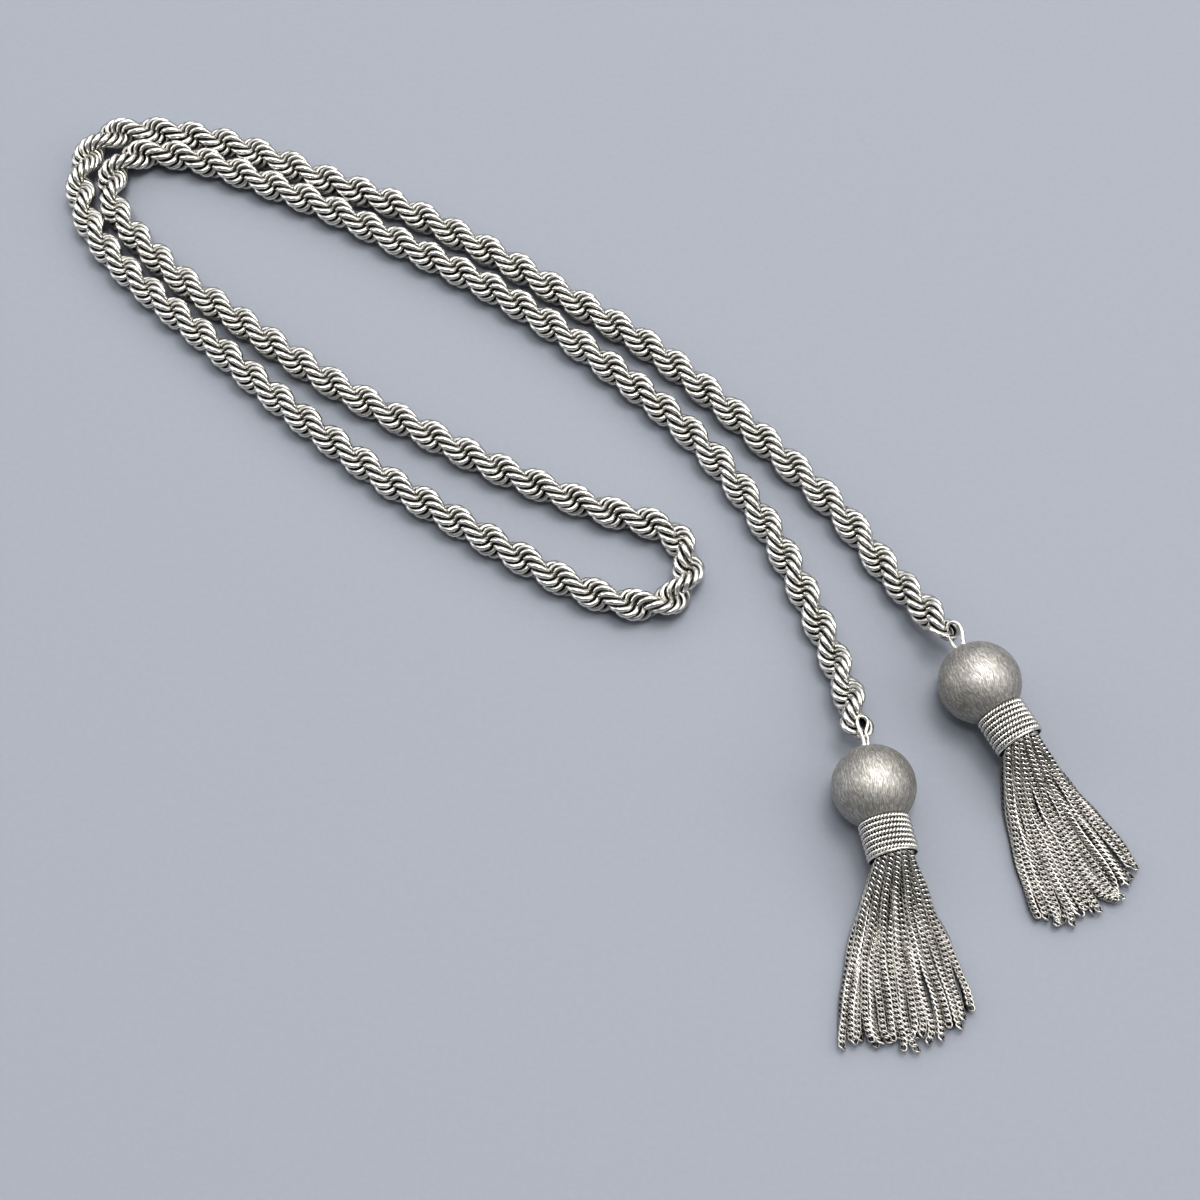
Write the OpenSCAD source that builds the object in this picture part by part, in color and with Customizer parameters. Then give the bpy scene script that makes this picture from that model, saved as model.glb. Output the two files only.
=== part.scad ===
// Tassel necklace: a long rope chain that lies folded in half on a table, with a
// brushed ball, a wound collar and a tassel of fine chains on each free end.
// Lengths are in millimetres, +Z is up, and the origin is on the table under the
// middle of the necklace as it lies.

/* [Rope chain] */
// Thickness of the rope chain over its links
rope_d = 7; // [6:0.1:7]
// Number of flat sides on the rope chain's plain tube
rope_sides = 10; // [8:2:12]

/* [Ball] */
// Diameter of each brushed ball
ball_d = 16; // [14:0.5:17]
// Thickness of the ball's metal
ball_wall = 0.6; // [0.4:0.1:1]
// Opening of the ball inside the collar
ball_hole_d = 5; // [3:0.5:6]

/* [Wire eye] */
// Thickness of the wire eye soldered to the ball
eye_wire = 0.8; // [0.6:0.1:1]
// Width of the eye between the middles of its two legs
eye_width = 2.1; // [1.8:0.1:2.6]
// How far the eye stands out of the ball
eye_reach = 4.2; // [3.5:0.1:5]
// Turn of the eye's plane about the ball's axis
eye_turn = 40; // [0:5:90]

/* [Collar] */
// Outer diameter of the wound collar
collar_d = 10; // [9:0.1:10.5]
// Number of turns of twisted wire
collar_turns = 7; // [6:1:8]
// Thickness of one turn of twisted wire
collar_wire = 1.03; // [0.9:0.01:1.1]
// Width of the plain lip at the collar's mouth
lip_width = 0.5; // [0.3:0.1:0.8]
// How far the lip stands out of the collar's core
lip_rise = 0.3; // [0.1:0.1:0.4]

/* [Tassel] */
// Distance from the ball's middle to the ends of the longest chains
tassel_reach = 48; // [44:1:50]
// Number of locks that the fine chains are gathered in
lock_count = 9; // [7:1:11]
// Height of the chains where they lie spread on the table
lay_height = 2.6; // [2:0.1:3.2]

/* [Hidden] */

silver = "#c9c6c0";
brushed = "#b4b0a9";
fine_silver = "#bdbab4";

// Clearance between neighbouring pieces
gap = 0.12;
round_fn = 64;

// The rope chain's route, from the far ball to the near ball.
// Columns: x, y, and the lift of the rope above lying on the table.
rope_route = [
    [74.5, -22.5, 4], [71, -16.5, 2.2], [66.5, -10, 0.3], [57, 4, 0],
    [48.5, 14, 0], [40, 23, 0], [28, 35, 0], [16, 45.5, 0],
    [2.5, 55, 0], [-10.5, 64, 0], [-23.5, 72.5, 0], [-37, 80.5, 0],
    [-52, 87, 0], [-66, 93.5, 0], [-79, 98, 0], [-91, 100, 0],
    [-98.5, 99.5, 0], [-103.5, 96, 0], [-106, 90, 0], [-106, 83, 0],
    [-103.5, 75.5, 0], [-95, 63.5, 0], [-83.5, 52.5, 0], [-71, 41.5, 0],
    [-59.5, 31, 0], [-47.5, 21, 0], [-35, 11.5, 0], [-21.5, 3, 0],
    [-7.5, -5.5, 0], [3.5, -11.5, 0], [13.5, -15, 0], [20.5, -14.5, 0],
    [24.5, -10.5, 0], [25, -5, 0], [22.5, 0, 0], [17, 3, 0],
    [9, 5.5, 0], [1.5, 8.5, 0], [-14, 15.5, 0], [-28.5, 23.5, 0],
    [-42.5, 31.5, 0], [-56, 40.5, 0], [-69, 50.5, 0], [-81, 60, 0],
    [-91.5, 71, 0], [-96.5, 78, 0], [-98.5, 85, 0], [-97, 90, 0],
    [-93, 92.5, 0], [-87, 92.5, 0], [-79, 90.5, 0], [-64.5, 84.5, 0],
    [-50.5, 78, 0], [-37, 70.5, 0], [-23.5, 63, 0], [-10, 54.5, 0],
    [3, 44.5, 0], [15, 34, 0], [26, 23, 0], [36, 10, 0],
    [44, -4, 0], [50.5, -19, 0], [53.5, -27, 0.3], [55.5, -35, 2.2],
    [56.5, -42.5, 4]
];

// Where each ball lies, the way its tassel points, and how far the lying chains
// spread to each side of that line at their ends.
near_at = [59, -54.5];
near_turn = -78;
near_spread = [-17.5, 8];
far_at = [80.5, -33.5];
far_turn = -61;
far_spread = [-14.5, 8];

ball_r = ball_d / 2;
collar_r = collar_d / 2;
collar_bore_r = collar_r - collar_wire;
// The first turn sits in the corner where the collar meets the ball
collar_start = sqrt(pow(ball_r, 2) - pow(collar_r, 2)) + gap;
collar_end = collar_start + collar_turns * collar_wire + lip_width;

// The head of the bundle sits in the collar
head_r = collar_bore_r - gap;
head_start = ball_r + gap;

// The fine chains fall from the collar's mouth to the table and spread there. A
// fall is the share of the way on which the lowest or the highest chains come down.
fall_start = collar_end + gap;
lower_fall = 0.22;
upper_fall = 0.55;
spread_ease = 1.3;
mouth_half_width = 0.9;
// Each lock is this much wider than its share of the spread
lock_overlap = 1.25;
// The outermost locks end this much sooner, and the ends are uneven by this much
outer_short = 3;
end_uneven = 0.7;
end_waves = 900;
// Steps along a lock lie closer together near the mouth
lock_steps = 7;
step_ease = 1.5;
lock_sides = 12;
disc_thickness = 0.4;

function unit(v) = v / norm(v);

// Direction of the route at point i, from its neighbours
function route_way(route, i) =
    unit(route[min(i + 1, len(route) - 1)] - route[max(i - 1, 0)]);

// One ring of the tube: a polygon square to the route with a corner straight down
function ring_points(centre, way, r, sides) =
    let (across = unit(cross([0, 0, 1], way)), up = cross(way, across))
    [for (k = [0 : sides - 1])
        centre - r * cos(360 * k / sides) * up + r * sin(360 * k / sides) * across];

// A closed tube swept along a route, one ring at each of its points
module swept_tube(route, r, sides) {
    rings = len(route);
    points = [for (i = [0 : rings - 1])
        each ring_points(route[i], route_way(route, i), r, sides)];
    walls = [for (i = [0 : rings - 2], k = [0 : sides - 1])
        let (n = (k + 1) % sides)
        [i * sides + k, i * sides + n, (i + 1) * sides + n, (i + 1) * sides + k]];
    first_cap = [for (k = [sides - 1 : -1 : 0]) k];
    last_cap = [for (k = [0 : sides - 1]) (rings - 1) * sides + k];
    polyhedron(points, concat([first_cap], walls, [last_cap]), convexity = 8);
}

// Puts an end piece, drawn with the ball's middle at the origin and the tassel
// towards +X, where its ball lies on the table
module lay_down(at, turn) {
    translate([at[0], at[1], ball_r]) rotate([0, 0, turn]) children();
}

// Half outline of the ball's metal: x is the distance from its axis and y runs from
// the ball's middle to its opening
module shell_outline() {
    difference() {
        circle(r = ball_r, $fn = round_fn);
        circle(r = ball_r - ball_wall, $fn = round_fn);
        translate([-ball_r - 1, -ball_r - 1]) square([ball_r + 1, ball_d + 2]);
        translate([-1, 0]) square([1 + ball_hole_d / 2, ball_r + 1]);
    }
}

// Hollow ball with its opening towards the tassel and the wire eye behind it
module ball_with_eye() {
    rotate([0, 90, 0]) rotate_extrude($fn = round_fn) shell_outline();
    rotate([eye_turn, 0, 0]) wire_eye();
}

// A narrow loop of round wire: two legs that stand on the ball and a half round
module wire_eye() {
    leg_y = eye_width / 2;
    bend_x = -(ball_r + eye_reach - eye_wire / 2 - leg_y);
    foot_x = -(ball_r - ball_wall / 2);
    for (side = [-1, 1])
        translate([bend_x, side * leg_y, 0])
            rotate([0, 90, 0]) cylinder(d = eye_wire, h = foot_x - bend_x, $fn = 24);
    translate([bend_x, 0, 0]) rotate([0, 0, 90])
        rotate_extrude(angle = 180, $fn = round_fn)
            translate([leg_y, 0]) circle(d = eye_wire, $fn = 24);
}

// Half outline of the collar: x is the distance from its axis and y runs from the
// ball's middle to the mouth. The first turn is cut to the ball that it sits on.
module collar_outline() {
    turn_r = collar_wire * 0.53;
    core_r = collar_r - collar_wire / 2;
    difference() {
        union() {
            translate([collar_bore_r, collar_start])
                square([core_r - collar_bore_r, collar_end - collar_start]);
            for (turn = [0 : collar_turns - 1])
                translate([collar_r - turn_r, collar_start + (turn + 0.5) * collar_wire])
                    circle(r = turn_r, $fn = 32);
            translate([core_r - lip_rise, collar_end - lip_width])
                square([lip_rise * 2, lip_width]);
        }
        circle(r = ball_r + gap, $fn = 128);
    }
}

// Sleeve wound of twisted wire, drawn as plain round turns
module wound_collar() {
    rotate([0, 90, 0]) rotate_extrude($fn = round_fn) collar_outline();
}

// How much of the fall is left at share t of the way, 1 at the mouth and 0 where
// the chains touch down
function fall_left(t, fall) = pow(max(0, 1 - t / fall), 2);

// Distance from the ball's middle to the end of the lock at this share of the spread
function lock_end(share) =
    tassel_reach - outer_short * pow(2 * share - 1, 2)
        - end_uneven * (1 + sin(end_waves * share));

// Middle and half sizes of the lock at this share of the spread, when it is the
// share t of its way from the mouth to its end: [x, y, z, half width, half height]
function lock_section(share, t, spread) =
    let (
        eased = 1 - pow(1 - t, spread_ease),
        end_half_width = (spread[1] - spread[0]) / lock_count / 2 * lock_overlap,
        end_y = spread[0] + end_half_width
            + share * (spread[1] - spread[0] - 2 * end_half_width),
        mouth_y = (2 * share - 1) * (head_r - mouth_half_width),
        mouth_half = sqrt(pow(head_r, 2) - pow(mouth_y, 2)),
        low = (ball_r - mouth_half) * fall_left(t, lower_fall),
        high = lay_height
            + (ball_r + mouth_half - lay_height) * fall_left(t, upper_fall)
    )
    [fall_start + (lock_end(share) - fall_start) * t,
     mouth_y + (end_y - mouth_y) * eased,
     (low + high) / 2 - ball_r,
     mouth_half_width + (end_half_width - mouth_half_width) * eased,
     (high - low) / 2];

// A thin flat disc across the lock, which hull() joins to the next one
module lock_disc(s) {
    translate([s[0], s[1], s[2]]) scale([1, s[3], s[4]])
        rotate([0, 90, 0]) cylinder(r = 1, h = disc_thickness, $fn = lock_sides);
}

// One lock of chains, from the collar's mouth to its end on the table
module lock(share, spread) {
    for (i = [0 : lock_steps - 1])
        hull()
            for (step = [i, i + 1])
                lock_disc(lock_section(share, pow(step / lock_steps, step_ease), spread));
}

// The bundle of chains: a round head inside the collar and the locks fused to it
module tassel(spread) {
    translate([head_start, 0, 0]) rotate([0, 90, 0])
        cylinder(r = head_r, h = fall_start + disc_thickness - head_start, $fn = 32);
    for (i = [0 : lock_count - 1]) lock(i / (lock_count - 1), spread);
}

// The rope chain as a plain tube that lies on the table
module rope_chain() {
    route = [for (p = rope_route) [p[0], p[1], p[2] + rope_d / 2]];
    color(silver) swept_tube(route, rope_d / 2, rope_sides);
}

module ball_near() { color(brushed) lay_down(near_at, near_turn) ball_with_eye(); }
module ball_far() { color(brushed) lay_down(far_at, far_turn) ball_with_eye(); }
module collar_near() { color(silver) lay_down(near_at, near_turn) wound_collar(); }
module collar_far() { color(silver) lay_down(far_at, far_turn) wound_collar(); }
module tassel_near() { color(fine_silver) lay_down(near_at, near_turn) tassel(near_spread); }
module tassel_far() { color(fine_silver) lay_down(far_at, far_turn) tassel(far_spread); }

rope_chain();
ball_near();
collar_near();
tassel_near();
ball_far();
collar_far();
tassel_far();
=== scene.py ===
# Tassel necklace: a silver rope chain folded in half, with a brushed ball, a wound
# collar and a tassel of fine chains on each free end, lying on a table.
import math

import bpy
import numpy as np
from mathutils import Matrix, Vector


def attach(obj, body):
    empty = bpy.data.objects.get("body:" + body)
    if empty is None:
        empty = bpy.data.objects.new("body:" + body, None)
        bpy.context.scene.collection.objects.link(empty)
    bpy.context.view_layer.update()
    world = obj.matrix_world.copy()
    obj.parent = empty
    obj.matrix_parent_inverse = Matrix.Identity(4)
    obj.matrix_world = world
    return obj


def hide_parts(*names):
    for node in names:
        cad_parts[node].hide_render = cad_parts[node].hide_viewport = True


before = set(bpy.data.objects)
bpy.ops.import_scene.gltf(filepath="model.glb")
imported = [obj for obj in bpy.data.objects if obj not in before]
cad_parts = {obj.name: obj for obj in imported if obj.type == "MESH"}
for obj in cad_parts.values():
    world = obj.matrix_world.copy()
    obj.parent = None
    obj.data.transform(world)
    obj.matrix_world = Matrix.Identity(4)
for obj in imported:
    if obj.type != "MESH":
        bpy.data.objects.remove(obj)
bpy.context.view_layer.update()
mm = 0.001
scene = bpy.context.scene
print("necklace: frame loaded")


cameraSettings = {
    "place": (0.0076, -0.1752, 0.36528),  # metres, in the part's frame
    "tiltDegrees": 24,                    # from looking straight down
    "lens": 60,                           # millimetres, as the sensor
    "sensor": 36,
    "clipStart": 0.01,                    # metres
}

tableSettings = {
    "size": 8.0,           # metres
    "colour": (0.285, 0.305, 0.345, 1),
    "fibreShade": 0.93,    # of the colour, in the darker fibres
    "roughness": 0.75,
    "grainScale": 900.0,   # across a metre
    "grainDetail": 3.0,
    "grain": 0.04,
    "grainDepth": 0.0002,  # metres
}

lightSettings = {
    "panels": {
        # name: place in metres, size, power and colour
        "overheadPanel": ((0.05, 1.00, 1.90), 3.4, 34, (1, 0.985, 0.97)),
        "keyPanel": ((0.28, 0.49, 2.10), 0.9, 17, (1, 0.985, 0.97)),
        "lowKeyPanel": ((-0.13, -0.23, 2.15), 0.4, 8, (1, 0.985, 0.97)),
        "rightPanel": ((1.24, -0.15, 0.92), 1.1, 5.5, (1, 0.98, 0.96)),
        "leftCard": ((-1.3, 0.2, 0.6), 1.0, 3.5, (1, 1, 1)),
    },
    "skyStrength": 0.26,
    "skyColour": (0.76, 0.765, 0.77, 1),
    "contrast": "High Contrast",
}


# A camera tilted about x from looking straight down
def addCamera(settings):
    cameraData = bpy.data.cameras.new("camera")
    cameraData.lens = settings["lens"]
    cameraData.sensor_width = settings["sensor"]
    cameraData.clip_start = settings["clipStart"]
    camera = bpy.data.objects.new("camera", cameraData)
    camera.location = settings["place"]
    camera.rotation_euler = (math.radians(settings["tiltDegrees"]), 0, 0)
    scene.collection.objects.link(camera)
    scene.camera = camera


# A square light that faces the middle of the table
def addPanel(name, place, size, power, colour):
    panelData = bpy.data.lights.new(name, "AREA")
    panelData.shape = "SQUARE"
    panelData.size = size
    panelData.energy = power
    panelData.color = colour
    panel = bpy.data.objects.new(name, panelData)
    panel.location = place
    panel.rotation_euler = (-Vector(place)).to_track_quat("-Z", "Y").to_euler()
    scene.collection.objects.link(panel)


# The panels, an even sky round them and the picture's contrast
def addLights(settings):
    for name, panel in settings["panels"].items():
        addPanel(name, *panel)
    world = bpy.data.worlds.new("studio")
    scene.world = world
    world.use_nodes = True
    sky = world.node_tree.nodes["Background"]
    sky.inputs["Color"].default_value = settings["skyColour"]
    sky.inputs["Strength"].default_value = settings["skyStrength"]
    scene.view_settings.view_transform = "Standard"
    scene.view_settings.look = settings["contrast"]


# A new material with its node lists and its main shader
def startMaterial(name):
    material = bpy.data.materials.new(name)
    material.use_nodes = True
    nodes, links = material.node_tree.nodes, material.node_tree.links
    return material, nodes, links, nodes["Principled BSDF"]


# A node with values for its own settings or, where it has none of that name, its inputs
def addNode(nodes, kind, **values):
    node = nodes.new(kind)
    for name, value in values.items():
        if hasattr(node, name):
            setattr(node, name, value)
        else:
            node.inputs[name.replace("_", " ")].default_value = value
    return node


# The first colour times what is left of the share, plus the second times the share; each
# is a colour or what another node gives
def mixedColour(nodes, links, share, first, second):
    mix = addNode(nodes, "ShaderNodeMix", data_type="RGBA")  # its colours are sockets 6 and 7
    links.new(share, mix.inputs[0])
    for socket, value in ((mix.inputs[6], first), (mix.inputs[7], second)):
        if isinstance(value, tuple):
            socket.default_value = value
        else:
            links.new(value, socket)
    return mix.outputs[2]


# A value stretched from one range to another and held inside it
def rescaled(nodes, links, value, low, high, newLow=0.0, newHigh=1.0):
    node = addNode(nodes, "ShaderNodeMapRange", From_Min=low, From_Max=high,
                   To_Min=newLow, To_Max=newHigh)
    links.new(value, node.inputs["Value"])
    return node.outputs["Result"]


# Soft noise between 0 and 1, read at the given place times the scale
def noisePattern(nodes, links, place, scale, detail):
    noise = addNode(nodes, "ShaderNodeTexNoise", Scale=scale, Detail=detail)
    links.new(place, noise.inputs["Vector"])
    return noise.outputs["Fac"]


# Small relief on a shader: the pattern's height times the depth, at the given strength
def bumpFrom(nodes, links, height, strength, depth, shader):
    bump = addNode(nodes, "ShaderNodeBump", Strength=strength, Distance=depth)
    links.new(height, bump.inputs["Height"])
    links.new(bump.outputs["Normal"], shader.inputs["Normal"])


# Matt paper: its colour and a slightly darker one, mixed by the same grain as its relief
def tableMaterial(settings):
    material, nodes, links, shader = startMaterial("palePaper")
    place = addNode(nodes, "ShaderNodeTexCoord").outputs["Object"]
    grain = noisePattern(nodes, links, place, settings["grainScale"], settings["grainDetail"])
    fibre = tuple(settings["fibreShade"] * c for c in settings["colour"][:3]) + (1,)
    links.new(mixedColour(nodes, links, grain, settings["colour"], fibre),
              shader.inputs["Base Color"])
    shader.inputs["Roughness"].default_value = settings["roughness"]
    bumpFrom(nodes, links, grain, settings["grain"], settings["grainDepth"], shader)
    return material


# A flat square at the height 0
def addTable(settings):
    half = settings["size"] / 2
    mesh = bpy.data.meshes.new("table")
    mesh.from_pydata([(-half, -half, 0), (half, -half, 0), (half, half, 0), (-half, half, 0)],
                     [], [(0, 1, 2, 3)])
    table = bpy.data.objects.new("table", mesh)
    scene.collection.objects.link(table)
    mesh.materials.append(tableMaterial(settings))


addCamera(cameraSettings)
addLights(lightSettings)
addTable(tableSettings)
print("necklace: camera, table and light")


# Shapes: a shape is its points, an array of four-sided faces and a list of end caps

# Each vector divided by its own length
def unit(vectors):
    return vectors / np.linalg.norm(vectors, axis=-1, keepdims=True)


# The sum of the products of two vectors' parts
def dot(a, b):
    return np.sum(a * b, axis=-1, keepdims=True)


# Cubic spline through points, with the distances between them as its parameter: the
# bend at each point is the answer of one set of equations, and between two points the
# place is the straight line plus both bends' cubic terms. Places on it are then read
# off at even steps, with the distance along it of each.
def evenPath(points, step, finePerPoint=40):
    points = np.array(points, float)
    gaps = np.linalg.norm(np.diff(points, axis=0), axis=1)
    knots = np.concatenate([[0], np.cumsum(gaps)])
    count = len(points)
    system = np.eye(count)
    inner = np.arange(1, count - 1)
    system[inner, inner - 1] = gaps[:-1]
    system[inner, inner] = 2 * (gaps[:-1] + gaps[1:])
    system[inner, inner + 1] = gaps[1:]
    slopes = np.diff(points, axis=0) / gaps[:, None]
    right = np.zeros_like(points)
    right[1:-1] = 6 * np.diff(slopes, axis=0)
    bend = np.linalg.solve(system, right)
    fine = np.linspace(0, knots[-1], finePerPoint * count)
    i = np.clip(np.searchsorted(knots, fine, side="right") - 1, 0, count - 2)
    h = gaps[i][:, None]
    b = (fine - knots[i])[:, None] / h
    a = 1 - b
    place = (a * points[i] + b * points[i + 1]
             + ((a**3 - a) * bend[i] + (b**3 - b) * bend[i + 1]) * h**2 / 6)
    run = np.concatenate([[0], np.cumsum(np.linalg.norm(np.diff(place, axis=0), axis=1))])
    along = np.arange(0, run[-1], step)
    return np.stack([np.interp(along, run, place[:, k]) for k in range(3)], axis=1), along


# Round wires along centre lines: at each point a circle in the plane square to the
# wire, from its side vector and the cross product of the wire's way with it
def wireSurface(centres, side, radius, sides, closed):
    if closed:
        way = np.roll(centres, -1, axis=1) - np.roll(centres, 1, axis=1)
    else:
        way = np.gradient(centres, axis=1)
    way = unit(way)
    side = unit(side - dot(side, way) * way)
    over = np.cross(way, side)
    turn = 2 * np.pi * np.arange(sides) / sides
    radius = np.broadcast_to(radius, centres.shape[:2])[..., None, None]
    points = (centres[:, :, None] + radius * (np.cos(turn)[:, None] * side[:, :, None]
                                              + np.sin(turn)[:, None] * over[:, :, None]))
    wires, steps = centres.shape[:2]
    wire, step, corner = np.meshgrid(np.arange(wires), np.arange(steps if closed else steps - 1),
                                     np.arange(sides), indexing="ij")
    nextStep = (step + 1) % steps
    nextCorner = (corner + 1) % sides

    def number(s, c):
        return (wire * steps + s) * sides + c

    quads = np.stack([number(step, corner), number(step, nextCorner),
                      number(nextStep, nextCorner), number(nextStep, corner)], axis=-1)
    caps = []
    if not closed:
        starts = np.arange(wires)[:, None] * steps * sides + np.arange(sides)
        caps = [*starts[:, ::-1], *(starts + (steps - 1) * sides)]
    return points.reshape(-1, 3), quads.reshape(-1, 4), caps


# Rings of points joined one to the next into a skin, with a cap on the first and the
# last, or the last ring joined to the first. Seen from where the rings go, their points
# run clockwise, so that the faces look outwards.
def ringSkin(points, joinEnds=False):
    rings, count = points.shape[:2]
    i, j = np.meshgrid(np.arange(rings if joinEnds else rings - 1), np.arange(count),
                       indexing="ij")
    n, k = (i + 1) % rings, (j + 1) % count
    quads = np.stack([i * count + j, n * count + j, n * count + k, i * count + k], axis=-1)
    first = np.arange(count)
    caps = [] if joinEnds else [first[::-1], first + count * (rings - 1)]
    return points.reshape(-1, 3), quads.reshape(-1, 4), caps


# Several shapes as one: the faces of each are numbered on from the points before it
def joinShapes(shapes):
    starts = np.cumsum([0] + [len(points) for points, quads, caps in shapes])
    points = np.concatenate([points for points, quads, caps in shapes])
    quads = np.concatenate([start + part[1] for start, part in zip(starts, shapes)])
    caps = [start + cap for start, part in zip(starts, shapes) for cap in part[2]]
    return points, quads, caps


# A smooth piece in place of a solid's node. It carries how bright the silver is at each point: 1
# where it is rubbed clean and out of painted shade, 0 where it carries tarnish and painted shade,
# and 1 where nothing else is given.
def addPiece(name, shape, material, node, wearAndPaintedShade=None):
    points, quads, caps = shape
    mesh = bpy.data.meshes.new(name)
    mesh.from_pydata(points.tolist(), [], quads.tolist() + [cap.tolist() for cap in caps])
    mesh.polygons.foreach_set("use_smooth", np.ones(len(mesh.polygons), bool))
    if wearAndPaintedShade is None:
        wearAndPaintedShade = np.ones(len(points))
    layer = mesh.attributes.new("wearAndPaintedShade", "FLOAT", "POINT")
    layer.data.foreach_set("value", wearAndPaintedShade.astype(np.float32))
    mesh.materials.append(material)
    mesh.update()
    piece = bpy.data.objects.new(name, mesh)
    scene.collection.objects.link(piece)
    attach(piece, "root")
    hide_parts(node)


# The source's route in millimetres, from the far ball to the near ball: x, y and the
# lift above lying on the table
ropeRoute = [
    [74.5, -22.5, 4], [71, -16.5, 2.2], [66.5, -10, 0.3], [57, 4, 0],
    [48.5, 14, 0], [40, 23, 0], [28, 35, 0], [16, 45.5, 0],
    [2.5, 55, 0], [-10.5, 64, 0], [-23.5, 72.5, 0], [-37, 80.5, 0],
    [-52, 87, 0], [-66, 93.5, 0], [-79, 98, 0], [-91, 100, 0],
    [-98.5, 99.5, 0], [-103.5, 96, 0], [-106, 90, 0], [-106, 83, 0],
    [-103.5, 75.5, 0], [-95, 63.5, 0], [-83.5, 52.5, 0], [-71, 41.5, 0],
    [-59.5, 31, 0], [-47.5, 21, 0], [-35, 11.5, 0], [-21.5, 3, 0],
    [-7.5, -5.5, 0], [3.5, -11.5, 0], [13.5, -15, 0], [20.5, -14.5, 0],
    [24.5, -10.5, 0], [25, -5, 0], [22.5, 0, 0], [17, 3, 0],
    [9, 5.5, 0], [1.5, 8.5, 0], [-14, 15.5, 0], [-28.5, 23.5, 0],
    [-42.5, 31.5, 0], [-56, 40.5, 0], [-69, 50.5, 0], [-81, 60, 0],
    [-91.5, 71, 0], [-96.5, 78, 0], [-98.5, 85, 0], [-97, 90, 0],
    [-93, 92.5, 0], [-87, 92.5, 0], [-79, 90.5, 0], [-64.5, 84.5, 0],
    [-50.5, 78, 0], [-37, 70.5, 0], [-23.5, 63, 0], [-10, 54.5, 0],
    [3, 44.5, 0], [15, 34, 0], [26, 23, 0], [36, 10, 0],
    [44, -4, 0], [50.5, -19, 0], [53.5, -27, 0.3], [55.5, -35, 2.2],
    [56.5, -42.5, 4],
]

# How often the rope has twisted by 180 degrees at a distance along its route
ropeHalfTurns = [
    (0, 1.1), (20, 3.8), (50, 7.15), (80, 10.7), (100, 13.2), (120, 15.6), (150, 19.2),
    (170, 21.8), (190, 24.1), (210, 26.7), (240, 30.05), (250, 31.3), (280, 35.25), (310, 39.1),
    (340, 42.9), (370, 46.7), (410, 51.6), (430, 54.3), (450, 56.7), (480, 60.4), (510, 64.0),
    (530, 66.5), (550, 68.9), (580, 72.8), (600, 75.5), (620, 78.0), (650, 81.8), (680, 85.7),
    (700, 88.1), (720, 90.8), (760, 95.5), (780, 98.0), (797, 100.0),
]

# How far the chain lies to the left of that route, in millimetres at a distance along it:
# at the fold its two runs nest closer than the source's plain tubes may
ropeNudges = [
    (0, 0), (130, 0), (150, 0.6), (210, 0.8), (230, 0.5), (250, 0.5), (270, 0.7), (310, 0.6),
    (350, 0.4), (380, 0), (430, 0), (520, -0.3), (550, 0), (570, 0.6), (610, 0.6),
    (640, 0.4), (680, 0.1), (720, 0.4), (750, 0.4), (780, 0), (797, 0),
]

ropeSettings = {
    "ringStep": 0.6,       # distance from one ring to the next, millimetres
    "wire": 1.2,           # its thickness
    "ringHalfWidth": 1.92,
    "ringHalfLength": 2.05,
    "ringOffset": 0.84,    # from the rope's middle to a ring's middle
    "slantDegrees": -9,    # of the rings to the rope's run
    "ropeRadius": 3.5,
    "ringSides": 16,
    "wireSides": 6,
    "shadeAndTarnishFrom": 1.4,     # distance from the rope's middle where the tarnish and painted shade stay
    "shadeAndTarnishTo": 2.3,       # and where the silver is bright, rubbed and out of painted shade
    "flankShade": 0.1,      # painted shade and tarnish up the sides of each wire, where its neighbours hide them; less for a higher value
    "flankFade": 0.7,
}


# Rings in two strands that wind round each other: a ring's middle stands off the path
# towards its own side, and the ring is an ellipse in the plane of that direction and of
# the path's way turned by the slant. Even rings are one strand and odd ones the other.
def ropeRings(settings):
    route = np.array(ropeRoute, float)
    route[:, 2] += settings["ropeRadius"]
    place, along = evenPath(route, settings["ringStep"])
    left = unit(np.cross([0, 0, 1.0], np.gradient(place, axis=0)))
    place = place + np.interp(along, *zip(*ropeNudges))[:, None] * left
    way = unit(np.gradient(place, axis=0))
    left = unit(np.cross([0, 0, 1.0], way))
    up = np.cross(way, left)
    number = np.arange(len(place))
    turn = np.pi * (np.interp(along, *zip(*ropeHalfTurns)) + number % 2)[:, None]
    outward = np.cos(turn) * left + np.sin(turn) * up
    around = np.cross(way, outward)
    slant = np.radians(settings["slantDegrees"])
    lengthwise = np.cos(slant) * way + np.sin(slant) * around
    middle = place + settings["ringOffset"] * outward
    angle = (2 * np.pi * np.arange(settings["ringSides"]) / settings["ringSides"])[:, None]
    centres = (middle[:, None]
               + settings["ringHalfWidth"] * np.cos(angle) * outward[:, None]
               + settings["ringHalfLength"] * np.sin(angle) * lengthwise[:, None])
    flat = np.broadcast_to(np.cross(outward, lengthwise)[:, None], centres.shape)
    return centres * mm, flat, place


finishSettings = {
    "cloudScale": 350.0,       # across a metre
    "cloudDetail": 4.0,
    "cloudShare": 0.5,         # how much the clouds move the edge of the tarnish and painted shade
    "tarnishAndShadeRoughness": 0.5,
    "scratchScale": 2500.0,
    "scratchDetail": 2.0,
    "scratches": 0.12,
    "scratchDepth": 0.00005,   # metres
    # name: rubbed bright, its roughness, and the dark of tarnish and painted shade
    "polishedSilver": ((0.88, 0.865, 0.83, 1), 0.24, (0.035, 0.04, 0.03, 1)),
    "wireSilver": ((0.84, 0.825, 0.79, 1), 0.25, (0.05, 0.05, 0.045, 1)),
    "chainSilver": ((0.84, 0.825, 0.79, 1), 0.25, (0.03, 0.024, 0.02, 1)),
}
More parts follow.
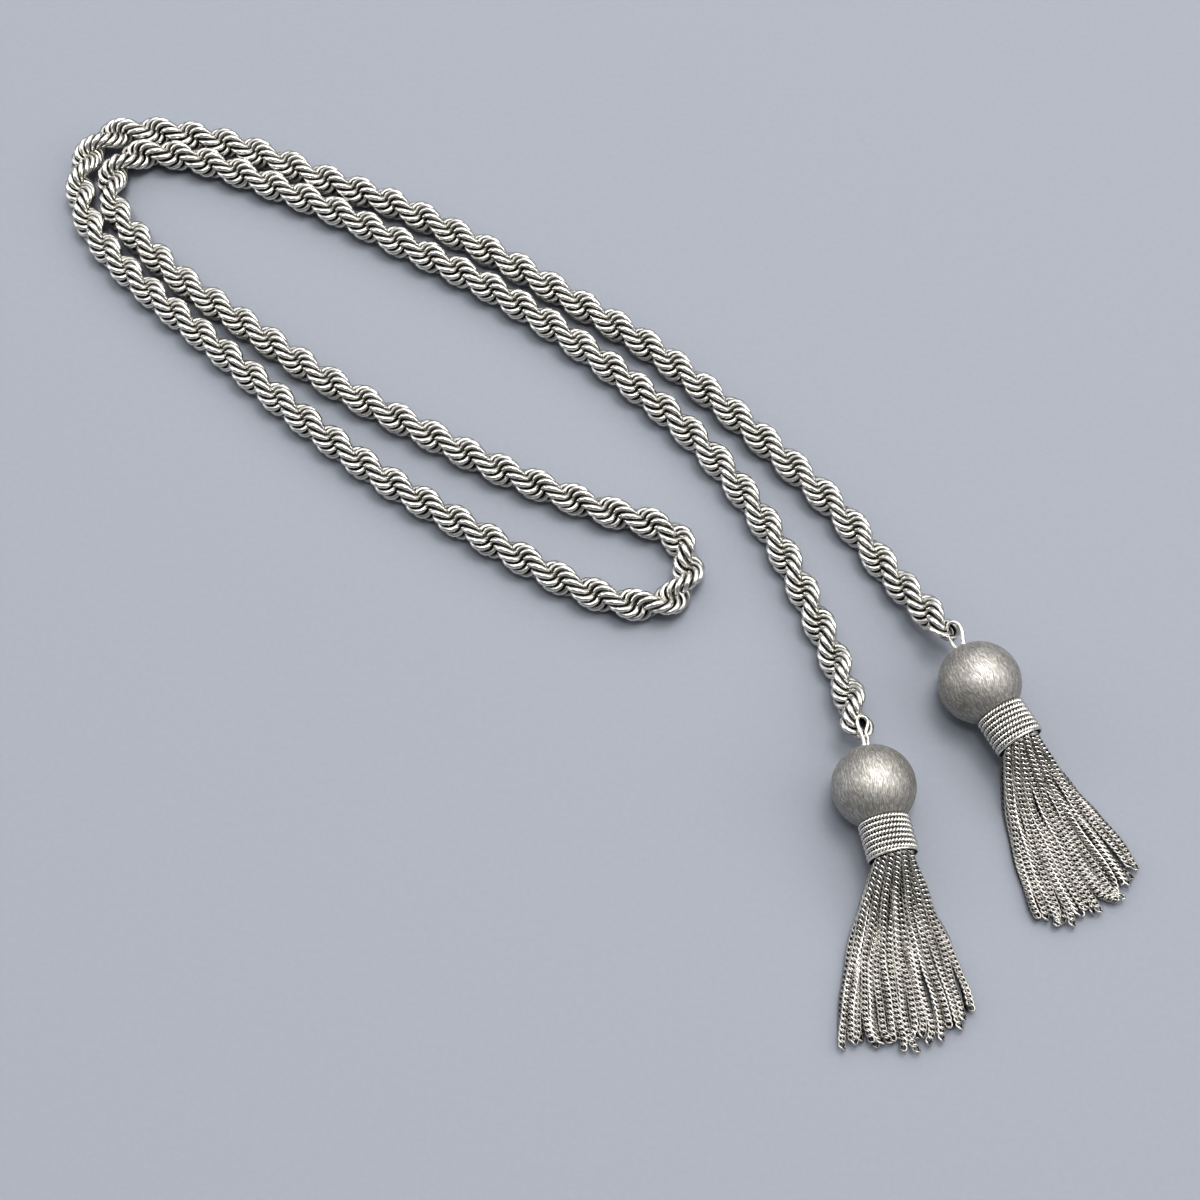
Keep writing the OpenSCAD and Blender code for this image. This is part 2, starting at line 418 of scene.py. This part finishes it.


# Silver that is bright where the piece's own attribute says it is rubbed and unshaded, and dark
# and rough where the attribute puts tarnish and painted shade, with fine scratches. Soft clouds
# move the edge between them: to the attribute they add a share of how far their noise is from a
# half.
def silverMaterial(name, settings):
    material, nodes, links, shader = startMaterial(name)
    colour, roughness, dark = settings[name]
    shader.inputs["Metallic"].default_value = 1.0
    place = addNode(nodes, "ShaderNodeTexCoord").outputs["Object"]
    cloud = noisePattern(nodes, links, place, settings["cloudScale"], settings["cloudDetail"])
    # The attribute holds tarnish and painted shade: 1 rubbed bright, 0 dark
    wearAndPaintedShade = addNode(nodes, "ShaderNodeAttribute", attribute_name="wearAndPaintedShade")
    patchy = addNode(nodes, "ShaderNodeMath", operation="MULTIPLY_ADD")
    patchy.inputs[1].default_value = settings["cloudShare"]  # times this, plus the next
    patchy.inputs[2].default_value = -settings["cloudShare"] / 2
    links.new(cloud, patchy.inputs[0])
    bright = addNode(nodes, "ShaderNodeMath", operation="ADD", use_clamp=True)
    links.new(wearAndPaintedShade.outputs["Fac"], bright.inputs[0])
    links.new(patchy.outputs["Value"], bright.inputs[1])
    bright = bright.outputs["Value"]
    links.new(mixedColour(nodes, links, bright, dark, colour), shader.inputs["Base Color"])
    links.new(rescaled(nodes, links, bright, 0, 1, settings["tarnishAndShadeRoughness"], roughness),
              shader.inputs["Roughness"])
    scratches = noisePattern(nodes, links, place, settings["scratchScale"],
                             settings["scratchDetail"])
    bumpFrom(nodes, links, scratches, settings["scratches"], settings["scratchDepth"], shader)
    return material


# How bright the silver is: tarnish and painted shade darken the wires near the rope's middle and
# on each wire's flanks, where the neighbouring wires hide them; it grows with the distance from
# the rope's middle, and with how far the wire's surface faces away from it
def ropeWearAndShade(settings, place, centres, points):
    low, high = settings["shadeAndTarnishFrom"], settings["shadeAndTarnishTo"]
    points = points.reshape(*centres.shape[:2], -1, 3) / mm
    away = points - place[:, None, None]
    distance = np.linalg.norm(away, axis=3)
    facing = dot(unit(points - centres[:, :, None] / mm), unit(away))[..., 0]
    # Painted shade on each wire's flanks, where the neighbouring wires hide them
    flank = np.clip((facing + settings["flankShade"]) / settings["flankFade"], 0, 1)
    return (np.clip((distance - low) / (high - low), 0, 1) * flank).ravel()


# The two strands of rings as two pieces, which stand for the source's tube
def buildRope(settings):
    centres, flat, place = ropeRings(settings)
    silver = silverMaterial("polishedSilver", finishSettings)
    for name, first in (("ropeStrandA", 0), ("ropeStrandB", 1)):
        shape = wireSurface(centres[first::2], flat[first::2],
                            settings["wire"] / 2 * mm, settings["wireSides"], True)
        wearAndPaintedShade = ropeWearAndShade(settings, place[first::2], centres[first::2], shape[0])
        addPiece(name, shape, silver, "rope_chain", wearAndPaintedShade)


buildRope(ropeSettings)
print("necklace: rope chain")


# Where each ball lies and how its tassel points, as in the source
endPlaces = {
    # x, y of the ball's middle, turn of the axis, spread of the lying chains
    "near": ([59, -54.5], -78, [-17.5, 8]),
    "far": ([80.5, -33.5], -61, [-14.5, 8]),
}
ballRadius = 8.0


# Local x runs from the ball's middle to the tassel: turned about z, then moved
def layDown(shape, place, turnDegrees):
    points, quads, caps = shape
    c, s = math.cos(math.radians(turnDegrees)), math.sin(math.radians(turnDegrees))
    turned = points @ np.array([[c, s, 0], [-s, c, 0], [0, 0, 1]])
    return (turned + [place[0], place[1], ballRadius]) * mm, quads, caps


ballSettings = {
    "radius": ballRadius,
    "wall": 0.6,
    "opening": 2.5,        # radius of the hole inside the collar
    "around": 128,         # points in a ring
    "along": 72,           # rings on the outside, and half as many on the inside
    "poleAngle": 0.004,    # radians from the pole to the first ring
}


# A shell turned about local x: outside from the back pole to the opening, inside back
# again; each ring has the radius r sin(a) at the distance -r cos(a)
def ballShell(settings):
    r, wall = settings["radius"], settings["wall"]
    lastOut = np.pi - math.asin(settings["opening"] / r)
    lastIn = np.pi - math.asin(settings["opening"] / (r - wall))
    a = np.linspace(settings["poleAngle"], lastOut, settings["along"])
    b = np.linspace(lastIn, settings["poleAngle"], settings["along"] // 2)
    x = np.concatenate([-r * np.cos(a), -(r - wall) * np.cos(b)])
    ring = np.concatenate([r * np.sin(a), (r - wall) * np.sin(b)])
    t = 2 * np.pi * np.arange(settings["around"]) / settings["around"]
    points = np.stack([x[:, None] + 0 * t, ring[:, None] * np.cos(t),
                       ring[:, None] * np.sin(t)], axis=-1)
    return ringSkin(points[::-1])


brushSettings = {
    "strokes": 6.0,        # across a millimetre
    "strokeDetail": 2.0,
    "length": 0.12,        # share of the stroke pattern's scale along the axis
    "slants": (0.015, -0.045),  # radians a millimetre, of the two sets of strokes
    "strokeRange": (0.38, 0.62),  # of the noise, from a dull stroke to a bright one
    "patches": 0.35,       # of one or the other set, in a millimetre
    "patchDetail": 2.0,
    "patchRange": (0.42, 0.58),
    "bright": (0.66, 0.646, 0.617, 1),
    "dull": (0.30, 0.291, 0.275, 1),
    "stain": (0.36, 0.348, 0.328, 1),
    "stainScale": 2.0,     # in a millimetre
    "stainDetail": 6.0,
    "stainRange": (0.30, 0.56),
    "roughness": (0.66, 0.54),  # of a dull and of a bright stroke
    "bump": 0.8,
    "depth": 0.000012,     # metres
}


# Where a pattern is read for strokes along the axis: the point's direction around it,
# turned by an angle that grows with the distance along it, as wide as the ball, and
# only a little of the distance itself
def strokePlace(nodes, links, centred, around, distance, slant):
    angle = addNode(nodes, "ShaderNodeMath", operation="MULTIPLY")
    angle.inputs[1].default_value = slant
    links.new(distance, angle.inputs[0])
    turned = addNode(nodes, "ShaderNodeVectorRotate", rotation_type="X_AXIS")
    links.new(around, turned.inputs["Vector"])
    links.new(angle.outputs["Value"], turned.inputs["Angle"])
    wide = addNode(nodes, "ShaderNodeVectorMath", operation="SCALE")
    wide.inputs["Scale"].default_value = ballRadius
    links.new(turned.outputs["Vector"], wide.inputs[0])
    along = addNode(nodes, "ShaderNodeVectorMath", operation="MULTIPLY_ADD")
    along.inputs[1].default_value = (brushSettings["length"], 0, 0)
    links.new(centred, along.inputs[0])
    links.new(wide.outputs["Vector"], along.inputs[2])
    return along.outputs["Vector"]


# Brushed with two sets of fine strokes that run along the axis, each turned a little more
# about it with every millimetre; patches show more of one set or of the other
def brushedMaterial(name, place, turnDegrees):
    settings = brushSettings
    material, nodes, links, shader = startMaterial(name)
    shader.inputs["Metallic"].default_value = 1.0
    mapping = addNode(nodes, "ShaderNodeMapping", vector_type="TEXTURE")
    mapping.inputs["Location"].default_value = (place[0] * mm, place[1] * mm, ballRadius * mm)
    mapping.inputs["Rotation"].default_value = (0, 0, math.radians(turnDegrees))
    mapping.inputs["Scale"].default_value = (mm, mm, mm)
    links.new(addNode(nodes, "ShaderNodeTexCoord").outputs["Object"], mapping.inputs["Vector"])
    centred = mapping.outputs["Vector"]
    parts = addNode(nodes, "ShaderNodeSeparateXYZ")
    links.new(centred, parts.inputs["Vector"])
    flat = addNode(nodes, "ShaderNodeVectorMath", operation="MULTIPLY")
    flat.inputs[1].default_value = (0, 1, 1)
    links.new(centred, flat.inputs[0])
    around = addNode(nodes, "ShaderNodeVectorMath", operation="NORMALIZE")
    links.new(flat.outputs["Vector"], around.inputs[0])
    strokes = [noisePattern(nodes, links, strokePlace(nodes, links, centred,
                                                      around.outputs["Vector"],
                                                      parts.outputs["X"], slant),
                            settings["strokes"], settings["strokeDetail"])
               for slant in settings["slants"]]
    patches = noisePattern(nodes, links, centred, settings["patches"], settings["patchDetail"])
    hatch = addNode(nodes, "ShaderNodeMix", data_type="FLOAT")
    links.new(rescaled(nodes, links, patches, *settings["patchRange"]), hatch.inputs[0])
    links.new(strokes[0], hatch.inputs[2])
    links.new(strokes[1], hatch.inputs[3])
    stroke = rescaled(nodes, links, hatch.outputs[0], *settings["strokeRange"])
    tone = mixedColour(nodes, links, stroke, settings["dull"], settings["bright"])
    worn = noisePattern(nodes, links, centred, settings["stainScale"], settings["stainDetail"])
    worn = rescaled(nodes, links, worn, *settings["stainRange"])
    links.new(mixedColour(nodes, links, worn, settings["stain"], tone),
              shader.inputs["Base Color"])
    links.new(rescaled(nodes, links, stroke, 0, 1, *settings["roughness"]),
              shader.inputs["Roughness"])
    bumpFrom(nodes, links, stroke, settings["bump"], settings["depth"], shader)
    return material


# One shell, brushed along the line of its own tassel
def buildBall(end):
    place, turn = endPlaces[end][:2]
    brushed = brushedMaterial("brushedSilver" + end.capitalize(), place, turn)
    addPiece("ball" + end.capitalize(), layDown(ballShell(ballSettings), place, turn), brushed,
             "ball_" + end)


eyeSettings = {
    "wire": 0.8,
    "wireSides": 14,
    "side": (0.1, 0.3, 1.0),  # where the first corner of the wire's outline faces
    "solder": 0.45,        # radius of the blob at each foot
    "solderDepth": 0.5,    # of its middle towards the ball from the wire's end
    "step": 0.15,          # from one point of the wire's line to the next
    # The wire's middle from one foot round to the other: outward from the ball's pole,
    # across and upward, millimetres
    "near": [(-0.4, 0.2, 0.85), (0.6, 0.3, 1.0), (2.6, 0.15, 1.3), (4.6, 0.05, 1.3),
             (5.7, 0.5, 1.1), (5.9, 1.3, 0.8), (5.1, 2.1, 0.4), (3.9, 1.9, 0),
             (2.6, 1.35, -0.1), (1.6, 1.45, 0), (0.9, 1.3, 0.2), (-0.4, 0.9, 0.2)],
    "far": [(-0.4, 1.4, 0.8), (0.7, 1.75, 0.95), (2.0, 2.45, 1.0), (3.4, 2.75, 1.0),
            (4.6, 2.4, 1.0), (5.1, 1.5, 0.6), (4.4, 0.6, -0.2), (2.8, 0, -0.1),
            (1.0, -0.35, 0.6), (-0.4, -0.4, 0.9)],
}


# A round blob: rings of radius r sin(a) at the height r cos(a), closed at the poles
def roundBlob(middle, radius, count=12, poleAngle=0.01):
    a = np.linspace(poleAngle, np.pi - poleAngle, count)[:, None]
    t = 2 * np.pi * np.arange(2 * count)[None] / (2 * count)
    points = np.stack([np.sin(a) * np.cos(t), np.sin(a) * np.sin(t), np.cos(a) + 0 * t], axis=-1)
    return ringSkin(points * radius + middle)


# A wire along a spline through the points of the loop, with a blob of solder at each foot
def wireEye(settings, end):
    points = np.array(settings[end]) * [-1, 1, 1] - [ballRadius, 0, 0]
    line, along = evenPath(points, settings["step"])
    side = np.broadcast_to(settings["side"], line.shape)
    shapes = [wireSurface(line[None], side[None], settings["wire"] / 2, settings["wireSides"],
                          False)]
    for foot in points[0], points[-1]:
        shapes.append(roundBlob(foot - [settings["solderDepth"], 0, 0], settings["solder"]))
    return joinShapes(shapes)


# The eye stands on the pole that faces away from the tassel
def buildEye(end, silver):
    place, turn = endPlaces[end][:2]
    addPiece("eye" + end.capitalize(), layDown(wireEye(eyeSettings, end), place, turn), silver,
             "ball_" + end)


collarSettings = {
    "turns": 7,
    "firstTurn": 7.2,      # of the first turn's middle from the ball's middle
    "lastTurn": 13.1,
    "middleRadius": 4.49,
    "plyRadius": 0.24,
    "plyOffset": 0.27,     # of a ply's middle from the twisted wire's middle
    "plySides": 6,
    "twists": 21,          # round one turn
    "twistSteps": 10,      # points along each of them
    "turnShift": 1.3,      # radians of twist from a turn to the next
    "core": (4.0, 4.3),    # inner and outer radius of the sleeve under the turns
    "coreLead": 0.1,       # from the core's start to the first turn's middle
    "lip": (13.8, 4.62, 0.3),  # distance, radius and wire radius of the plain lip
    "lipWidth": 0.9,       # of the lip's wire along the axis, as a share of its height
    "lipSides": 12,
    "wearAndPaintedShade": (4.35, 4.75),  # distances from the axis where the tarnish and painted shade in the grooves end and all is bright
}


# Rings of two plies: a ply's middle goes round the ring and, several times on the way,
# round the ring's own line
def twistedTurns(settings):
    steps = settings["twists"] * settings["twistSteps"]
    goRound = (2 * np.pi * np.arange(steps) / steps)[None]
    turns = np.linspace(settings["firstTurn"], settings["lastTurn"], settings["turns"])
    ring = np.repeat(turns, 2)
    ply = np.arange(len(ring))
    start = np.pi * ply + settings["turnShift"] * (ply // 2)
    twist = settings["twists"] * goRound + start[:, None]
    distance = settings["middleRadius"] + settings["plyOffset"] * np.cos(twist)
    centres = np.stack([ring[:, None] + settings["plyOffset"] * np.sin(twist),
                        distance * np.cos(goRound), distance * np.sin(goRound)], axis=-1)
    side = np.broadcast_to([1.0, 0, 0], centres.shape)
    return wireSurface(centres, side, settings["plyRadius"], settings["plySides"], True)


# A closed ring of the given outline: pairs of distance and radius, turned about local x
def turnedRing(outline, count=96):
    outline = np.array(outline)
    t = 2 * np.pi * np.arange(count)[None] / count
    points = np.stack([outline[:, :1] + 0 * t, outline[:, 1:] * np.cos(t),
                       outline[:, 1:] * np.sin(t)], axis=-1)
    return ringSkin(points[::-1], joinEnds=True)


# A plain sleeve under the twisted turns, with a lip of oval outline at its mouth; it is bright
# further from the axis, and nearer it the grooves between the turns carry tarnish and painted
# shade
def buildCollar(end, silver):
    settings = collarSettings
    place, turn = endPlaces[end][:2]
    low, high = settings["core"]
    at, radius, wire = settings["lip"]
    first = settings["firstTurn"] - settings["coreLead"]
    core = turnedRing([(first, low), (at, low), (at, high), (first, high)])
    a = 2 * np.pi * np.arange(settings["lipSides"]) / settings["lipSides"]
    lip = turnedRing(np.stack([at + wire * settings["lipWidth"] * np.cos(a),
                               radius + wire * np.sin(a)], axis=1))
    shape = joinShapes([core, lip, twistedTurns(settings)])
    # Tarnish and painted shade in the grooves: darker nearer the axis
    low, high = settings["wearAndPaintedShade"]
    away = np.linalg.norm(shape[0][:, 1:], axis=1)
    wearAndPaintedShade = np.clip((away - low) / (high - low), 0, 1)
    addPiece("collar" + end.capitalize(), layDown(shape, place, turn), silver,
             "collar_" + end, wearAndPaintedShade)


tasselSettings = {
    "reach": 48.0,         # of the longest chains from the ball's middle
    "mouth": 14.195,       # of the collar, from there too
    "start": 11.6,         # of the chains inside the collar
    "startShare": 0.95,    # of a chain's distance from the axis at the mouth, at its start
    "lineSteps": 60,
    "headRadius": 3.85,
    "mouthMargin": 0.6,    # from the head's edge to the outermost chain's middle
    "fanMargin": 0.6,      # and from the fan's edge
    "layers": ((17, 1.0), (9, 0.5), (7, 0.0)),  # chains in a layer, its share of the height
    "layHeight": 2.5,      # of the chains where they lie spread on the table
    "restHeight": 0.82,    # of a chain's middle that lies on the table
    "chainHeight": 1.5,    # what a chain takes of the bundle's height
    "lowerFall": 0.22,     # share of the way on which the lowest chains come down
    "upperFall": 0.55,     # and the highest
    "spreadEase": (1.3, 2.1),  # at the left and the right edge of the fan
    "outerShort": 3.0,     # how much sooner the outermost chains end
    "lowerShort": 1.5,     # and the lowest ones
    "endUneven": 2.3,      # and the most that any chain is short by chance
    "crossing": 0.02,      # how far chains change places on their way
    "tuck": 1.15,          # how much deeper a chain lies at the mouth, times its depth
    "tuckDepths": (0, 2, 1),  # of one chain and of the next ones, over and over
    "tuckLength": 0.85,    # share of the way on which such a chain comes up
    "linkPitch": 1.03,
    "linkHalfLength": 0.80,
    "linkHalfWidth": 0.53,
    "linkWire": 0.52,
    "linkTwist": -0.8,     # radians from the middle of a link to its end
    "linkSlant": 0.31,     # radians between a link and its chain
    "linkSides": 12,
    "wireSides": 6,
    "wander": 0.2,         # how far a chain sways sideways in its long wave
    "shortWander": 0.6,    # the short wave's share of that
    "wanderWaves": (7, 17),  # radians of the long and the short wave on the whole way
    "rise": 0.12,          # how far the highest chains sway up and down
    "riseWave": 11,
    "freeRate": 4,         # the sway is whole when this times the share of the way is 1
    "roll": 0.32,          # radians about the chain's way
    "rollLength": 6.0,     # millimetres for a radian of its wave
    "hook": 1.3,           # how far a chain's end turns aside, less at the fan's edges
    "hookFrom": 0.9,       # share of the way where it starts to
    "wearAndPaintedShade": 0.3,         # on a wire's flank, and more the further it faces out of its link; its inner side carries tarnish and painted shade
    "wearAndShadeFade": 0.8,
    "lowLayerShade": 0.35,     # what is left of it on the lowest chains, painted shade under the chains above
    "seed": 7,
}


# How much of the fall is left: 1 at the mouth and 0 where the chains touch down
def fallLeft(t, fall):
    return np.maximum(0, 1 - t / fall) ** 2


# Chain lines from the collar's mouth: across they spread with an ease from the bundle
# to the fan, and in height they fall from their place in the bundle to the table, each
# with a slow sway of its own. Near its end a chain turns aside by the square of how far
# it has come since the hook starts, and less the nearer it lies to the fan's edge.
def chainLine(settings, share, level, depth, spread, random):
    t = np.linspace(0, 1, settings["lineSteps"])
    reach = (settings["reach"] - settings["outerShort"] * (2 * share - 1) ** 2
             - settings["endUneven"] * random.random() - settings["lowerShort"] * (1 - level))
    x = settings["mouth"] + (reach - settings["mouth"]) * t
    mouthShare = np.clip(share + settings["crossing"] * random.normal(), 0, 1)
    mouthY = (2 * mouthShare - 1) * (settings["headRadius"] - settings["mouthMargin"])
    halfHeight = math.sqrt(settings["headRadius"] ** 2 - mouthY**2)
    fanWidth = spread[1] - spread[0] - 2 * settings["fanMargin"]
    endY = spread[0] + settings["fanMargin"] + share * fanWidth
    ease = settings["spreadEase"][0] * (1 - share) + settings["spreadEase"][1] * share
    y = mouthY + (endY - mouthY) * (1 - (1 - t) ** ease)
    low = (ballRadius - halfHeight) * fallLeft(t, settings["lowerFall"])
    high = (settings["layHeight"] + (ballRadius + halfHeight - settings["layHeight"])
            * fallLeft(t, settings["upperFall"]))
    tuck = depth * settings["tuck"] * fallLeft(t, settings["tuckLength"])
    z = low + settings["restHeight"] + level * (high - low - settings["chainHeight"] - tuck)
    phase = random.random(4) * 2 * np.pi
    free = np.minimum(1, settings["freeRate"] * t)
    long, short = settings["wanderWaves"]
    y = y + settings["wander"] * free * (np.sin(long * t + phase[0])
                                         + settings["shortWander"] * np.sin(short * t + phase[1]))
    z = z + settings["rise"] * free * np.sin(settings["riseWave"] * t + phase[2]) * level
    hook = settings["hook"] * (1 - (2 * share - 1) ** 2) * random.normal()
    hooked = np.maximum(0, (t - settings["hookFrom"]) / (1 - settings["hookFrom"]))
    y = y + hook * hooked**2
    line = np.stack([x, y, z - ballRadius], axis=1)
    inside = np.array([[settings["start"], mouthY * settings["startShare"],
                        (z[0] - ballRadius) * settings["startShare"]]])
    return np.concatenate([inside, line])


# A curb link: an oval in the plane of the chain's way and its flat side, twisted about
# the way by an angle that grows from its middle to its ends
def curbLinks(settings, line, random):
    place, along = evenPath(line, settings["linkPitch"])
    way = unit(np.gradient(place, axis=0))
    flat = unit(np.cross([0, 0, 1.0], way))
    over = np.cross(way, flat)
    lean = random.normal()
    wave = np.sin(along / settings["rollLength"] + 2 * np.pi * random.random())
    roll = settings["roll"] * (lean + wave)[:, None]
    across = np.cos(roll) * flat + np.sin(roll) * over
    over = np.cross(way, across)
    angle = (2 * np.pi * np.arange(settings["linkSides"]) / settings["linkSides"])[:, None]
    slant = settings["linkSlant"]
    lengthwise = np.cos(slant) * way + np.sin(slant) * across
    across = np.cos(slant) * across - np.sin(slant) * way
    twist = settings["linkTwist"] * np.sin(angle)
    arm = np.cos(twist) * across[:, None] + np.sin(twist) * over[:, None]
    centres = (place[:, None] + settings["linkHalfLength"] * np.sin(angle) * lengthwise[:, None]
               + settings["linkHalfWidth"] * np.cos(angle) * arm)
    side = np.cross(lengthwise[:, None], arm)
    return centres, side, np.repeat(place[:, None], len(angle), axis=1)


# All chains of one tassel as one piece, layer by layer from the top. A wire is bright where it
# faces out of its link and dark on its inner side, with tarnish and painted shade, and the lower
# layers are darker still, painted shade under the chains above.
def buildTassel(end, silver):
    place, turn, spread = endPlaces[end]
    settings = tasselSettings
    random = np.random.default_rng(settings["seed"] + len(end))  # the two ends differ
    links, levels = [], []
    for count, level in settings["layers"]:
        for i in range(count):
            depth = settings["tuckDepths"][i % len(settings["tuckDepths"])]
            line = chainLine(settings, i / (count - 1), level, depth, spread, random)
            links.append(curbLinks(settings, line, random))
            levels.append(np.full(len(links[-1][0]), level))
    centres, sides, middles = (np.concatenate(part) for part in zip(*links))
    levels = np.concatenate(levels)[:, None, None, None]
    shape = wireSurface(centres, sides, settings["linkWire"] / 2, settings["wireSides"], True)
    print("necklace: links in tassel", end, len(centres))
    wire = shape[0].reshape(*centres.shape[:2], -1, 3) - centres[:, :, None]
    outward = unit(centres - middles)[:, :, None]
    facing = 2 * dot(wire, outward) / settings["linkWire"]
    # Painted shade and tarnish: darker on each wire's inner side, and on the lower layers under
    # the chains above
    wearAndPaintedShade = np.clip(settings["wearAndPaintedShade"] + facing / settings["wearAndShadeFade"], 0, 1)
    wearAndPaintedShade = wearAndPaintedShade * (settings["lowLayerShade"] + (1 - settings["lowLayerShade"]) * levels)
    addPiece("tassel" + end.capitalize(), layDown(shape, place, turn), silver,
             "tassel_" + end, wearAndPaintedShade.ravel())


wireSilver = silverMaterial("wireSilver", finishSettings)
chainSilver = silverMaterial("chainSilver", finishSettings)
for end in endPlaces:
    buildBall(end)
    buildEye(end, wireSilver)
    buildCollar(end, wireSilver)
    buildTassel(end, chainSilver)
print("necklace: balls, eyes, collars and tassels")
